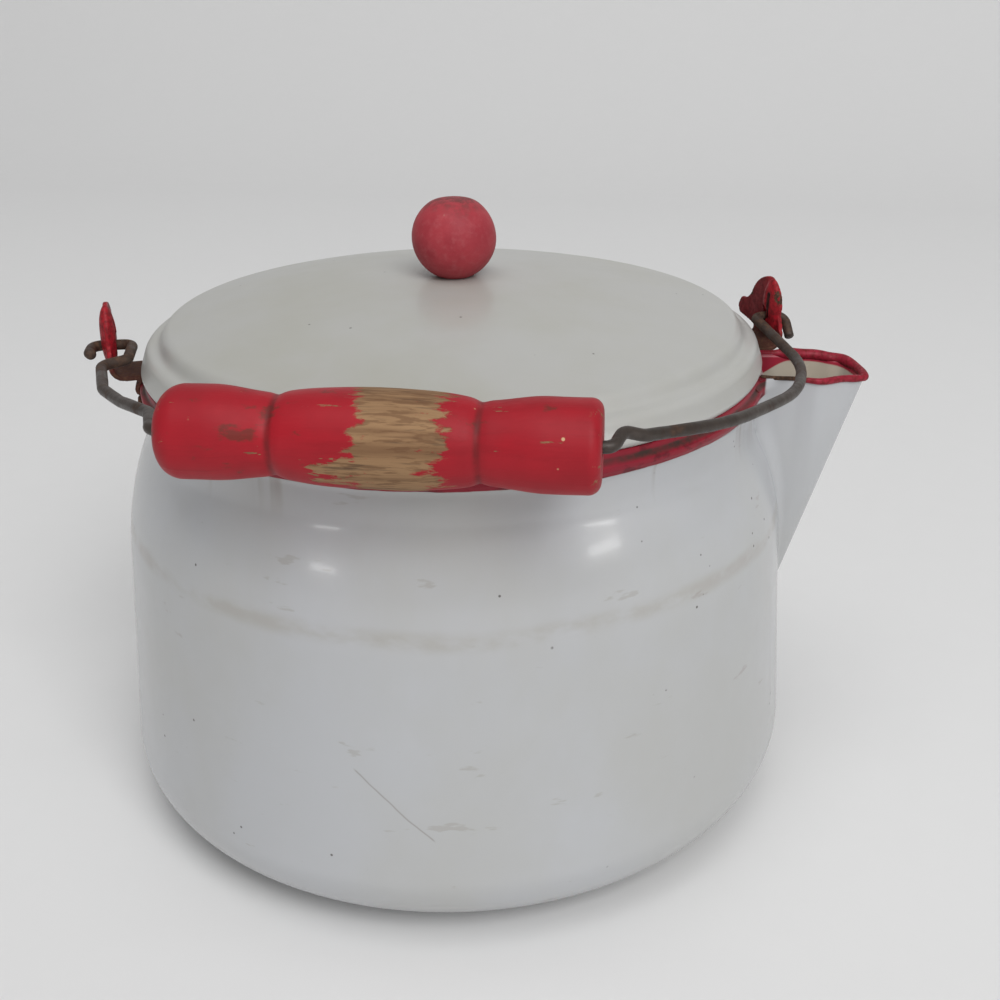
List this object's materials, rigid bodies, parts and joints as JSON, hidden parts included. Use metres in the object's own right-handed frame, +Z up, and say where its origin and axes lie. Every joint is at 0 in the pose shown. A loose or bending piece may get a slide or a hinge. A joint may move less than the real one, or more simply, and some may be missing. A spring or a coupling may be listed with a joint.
{
  "type": "coffee pot",
  "caption": "Wide enamelled steel coffee pot with an open spout, a lift-off domed lid with a ball knob, and a wire bail with a turned wooden grip.",
  "frame": {"origin": "middle of the base, on the surface that the pot stands on", "axes": "+Z up along the pot's axis, +X towards the spout, -Y the side on which the bail lies down"},
  "size_m": [0.2781, 0.2678, 0.2257],
  "materials": {
    "enamel_white": "glossy white enamel with fine specks, scratches and a red painted neck band",
    "enamel_spout": "glossy white enamel outside, cream inside, with a red rolled lip",
    "red_ear": "worn red paint over rusty steel",
    "bail_steel": "dark oxidised wire, rusty at the eyes",
    "red_wood": "red painted wood worn to the bare grain",
    "enamel_lid": "glossy white enamel",
    "knob_wood": "faded red painted wood",
    "plain_steel": "dull steel"
  },
  "bodies": {
    "pot": {"pot_body": "enamel_white", "spout": "enamel_spout", "front_ear": "red_ear", "back_ear": "red_ear", "front_ear_rivets": "red_ear", "back_ear_rivets": "red_ear"},
    "bail": {"bail_wire": "bail_steel"},
    "grip": {"grip": "red_wood"},
    "lid": {"lid": "enamel_lid", "lid_flange": "enamel_lid", "knob": "knob_wood", "knob_screw": "plain_steel", "knob_washer": "plain_steel"}
  },
  "joints": [
    {"name": "lid_lift", "type": "slide", "parent": "pot", "child": "lid", "axis": [0, 0, 1], "range_m": [0, 0.13]},
    {"name": "bail_swing", "type": "hinge", "parent": "pot", "child": "bail", "pos_m": [0, 0, 0.1765], "axis": [-0.9659, -0.2588, 0], "range_deg": [0, 145]},
    {"name": "grip_spin", "type": "hinge", "parent": "bail", "child": "grip", "pos_m": [-0.0018, -0.1263, 0.183], "axis": [1, 0, 0], "continuous": true}
  ]
}
